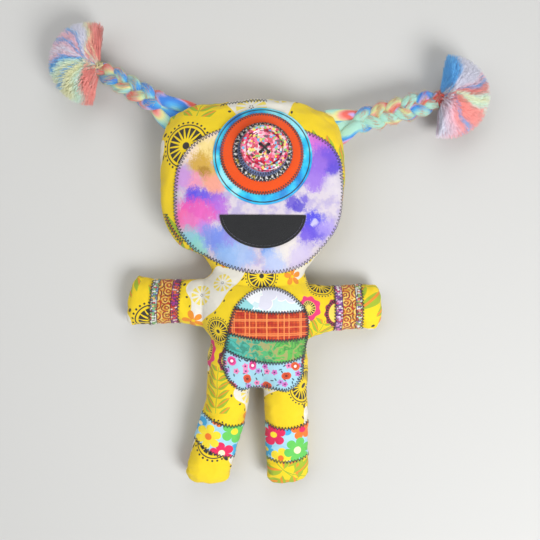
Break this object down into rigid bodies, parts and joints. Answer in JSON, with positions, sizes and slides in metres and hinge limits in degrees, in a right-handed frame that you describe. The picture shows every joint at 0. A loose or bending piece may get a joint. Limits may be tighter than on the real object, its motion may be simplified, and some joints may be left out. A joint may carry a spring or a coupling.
{
  "type": "rag doll",
  "caption": "Flat stuffed cotton doll with a single button eye, half-moon mouth, patched belly, ribbon cuffs and plaited pigtails with fanned ends.",
  "frame": {"origin": "middle of the flat of the torso's back, where the doll lies on a table", "axes": "+Z out of the doll's face, +Y to the top of the head, +X to the viewer's right"},
  "size_m": [0.353, 0.3722, 0.0684],
  "materials": {
    "yellow_cotton": "plain-weave printed quilting cotton",
    "polyester_fill": "loose polyester fibre",
    "tie_dyed_cotton": "tie-dyed plain-weave cotton",
    "turquoise_satin": "dyed satin",
    "orange_felt": "craft felt",
    "black_and_white_cotton": "printed cotton",
    "grey_felt": "craft felt",
    "black_felt": "craft felt",
    "speckled_button": "polished polyester resin with coloured chips",
    "black_thread": "sewing thread",
    "pale_blue_cotton": "printed cotton",
    "green_batik_cotton": "batik-dyed cotton",
    "red_check_cotton": "checked cotton",
    "white_print_cotton": "printed cotton",
    "gold_woven_ribbon": "woven ribbon with metallic thread",
    "flowered_blue_cotton": "printed cotton",
    "dyed_fleece": "combed wool roving, dyed in bands",
    "pale_yellow_yarn": "soft yarn",
    "coral_yarn": "soft yarn"
  },
  "bodies": {
    "torso": {"torso_front_cover": "yellow_cotton", "torso_back_cover": "yellow_cotton", "torso_stuffing": "polyester_fill", "neck_fold": "yellow_cotton", "left_shoulder_fold": "yellow_cotton", "right_shoulder_fold": "yellow_cotton", "left_hip_fold": "yellow_cotton", "right_hip_fold": "yellow_cotton", "belly_ditsy_strip": "pale_blue_cotton", "belly_batik_strip": "green_batik_cotton", "belly_check_strip": "red_check_cotton", "belly_petal_strip": "white_print_cotton"},
    "head": {"head_front_cover": "yellow_cotton", "head_back_cover": "yellow_cotton", "head_stuffing": "polyester_fill", "face_panel": "tie_dyed_cotton", "eye_ring": "turquoise_satin", "eye_iris": "orange_felt", "eye_print_disc": "black_and_white_cotton", "eye_pupil": "grey_felt", "eye_button": "speckled_button", "button_thread": "black_thread", "mouth": "black_felt"},
    "left_arm": {"left_arm_front_cover": "yellow_cotton", "left_arm_back_cover": "yellow_cotton", "left_arm_stuffing": "polyester_fill", "left_cuff": "gold_woven_ribbon"},
    "right_arm": {"right_arm_front_cover": "yellow_cotton", "right_arm_back_cover": "yellow_cotton", "right_arm_stuffing": "polyester_fill", "right_cuff": "gold_woven_ribbon"},
    "left_leg": {"left_leg_front_cover": "yellow_cotton", "left_leg_back_cover": "yellow_cotton", "left_leg_stuffing": "polyester_fill", "left_leg_patch": "flowered_blue_cotton"},
    "right_leg": {"right_leg_front_cover": "yellow_cotton", "right_leg_back_cover": "yellow_cotton", "right_leg_stuffing": "polyester_fill", "right_leg_patch": "flowered_blue_cotton"},
    "left_braid": {"left_braid_root": "dyed_fleece", "left_braid_hank_1": "dyed_fleece", "left_braid_hank_2": "dyed_fleece", "left_braid_hank_3": "dyed_fleece", "left_braid_tie": "pale_yellow_yarn", "left_tassel": "dyed_fleece"},
    "right_braid": {"right_braid_root": "dyed_fleece", "right_braid_hank_1": "dyed_fleece", "right_braid_hank_2": "dyed_fleece", "right_braid_hank_3": "dyed_fleece", "right_braid_tie": "coral_yarn", "right_tassel": "dyed_fleece"}
  },
  "joints": [
    {"name": "neck_bend", "type": "hinge", "parent": "torso", "child": "head", "pos_m": [-0.0012, 0.04927, 0.02], "axis": [1, 0, 0], "range_deg": [-25, 25], "stiffness_Nm_per_rad": 0.02, "deforming": ["neck_fold"]},
    {"name": "left_shoulder_bend", "type": "hinge", "parent": "torso", "child": "left_arm", "pos_m": [-0.05145, 0.0295, 0.02], "axis": [0, 1, 0], "range_deg": [-20, 50], "stiffness_Nm_per_rad": 0.01, "deforming": ["left_shoulder_fold"]},
    {"name": "right_shoulder_bend", "type": "hinge", "parent": "torso", "child": "right_arm", "pos_m": [0.04905, 0.0235, 0.02], "axis": [0, -1, 0], "range_deg": [-20, 50], "stiffness_Nm_per_rad": 0.01, "deforming": ["right_shoulder_fold"]},
    {"name": "left_hip_bend", "type": "hinge", "parent": "torso", "child": "left_leg", "pos_m": [-0.0243, -0.04825, 0.02], "axis": [-1, 0, 0], "range_deg": [-20, 45], "stiffness_Nm_per_rad": 0.01, "deforming": ["left_hip_fold"]},
    {"name": "right_hip_bend", "type": "hinge", "parent": "torso", "child": "right_leg", "pos_m": [0.0219, -0.04825, 0.02], "axis": [-1, 0, 0], "range_deg": [-20, 45], "stiffness_Nm_per_rad": 0.01, "deforming": ["right_hip_fold"]},
    {"name": "left_braid_swing", "type": "hinge", "parent": "head", "child": "left_braid", "pos_m": [-0.06566, 0.1801, 0.026], "axis": [0, 0, 1], "range_deg": [-40, 50], "deforming": ["left_braid_root"]},
    {"name": "right_braid_swing", "type": "hinge", "parent": "head", "child": "right_braid", "pos_m": [0.06428, 0.17, 0.026], "axis": [0, 0, -1], "range_deg": [-40, 50], "deforming": ["right_braid_root"]}
  ]
}
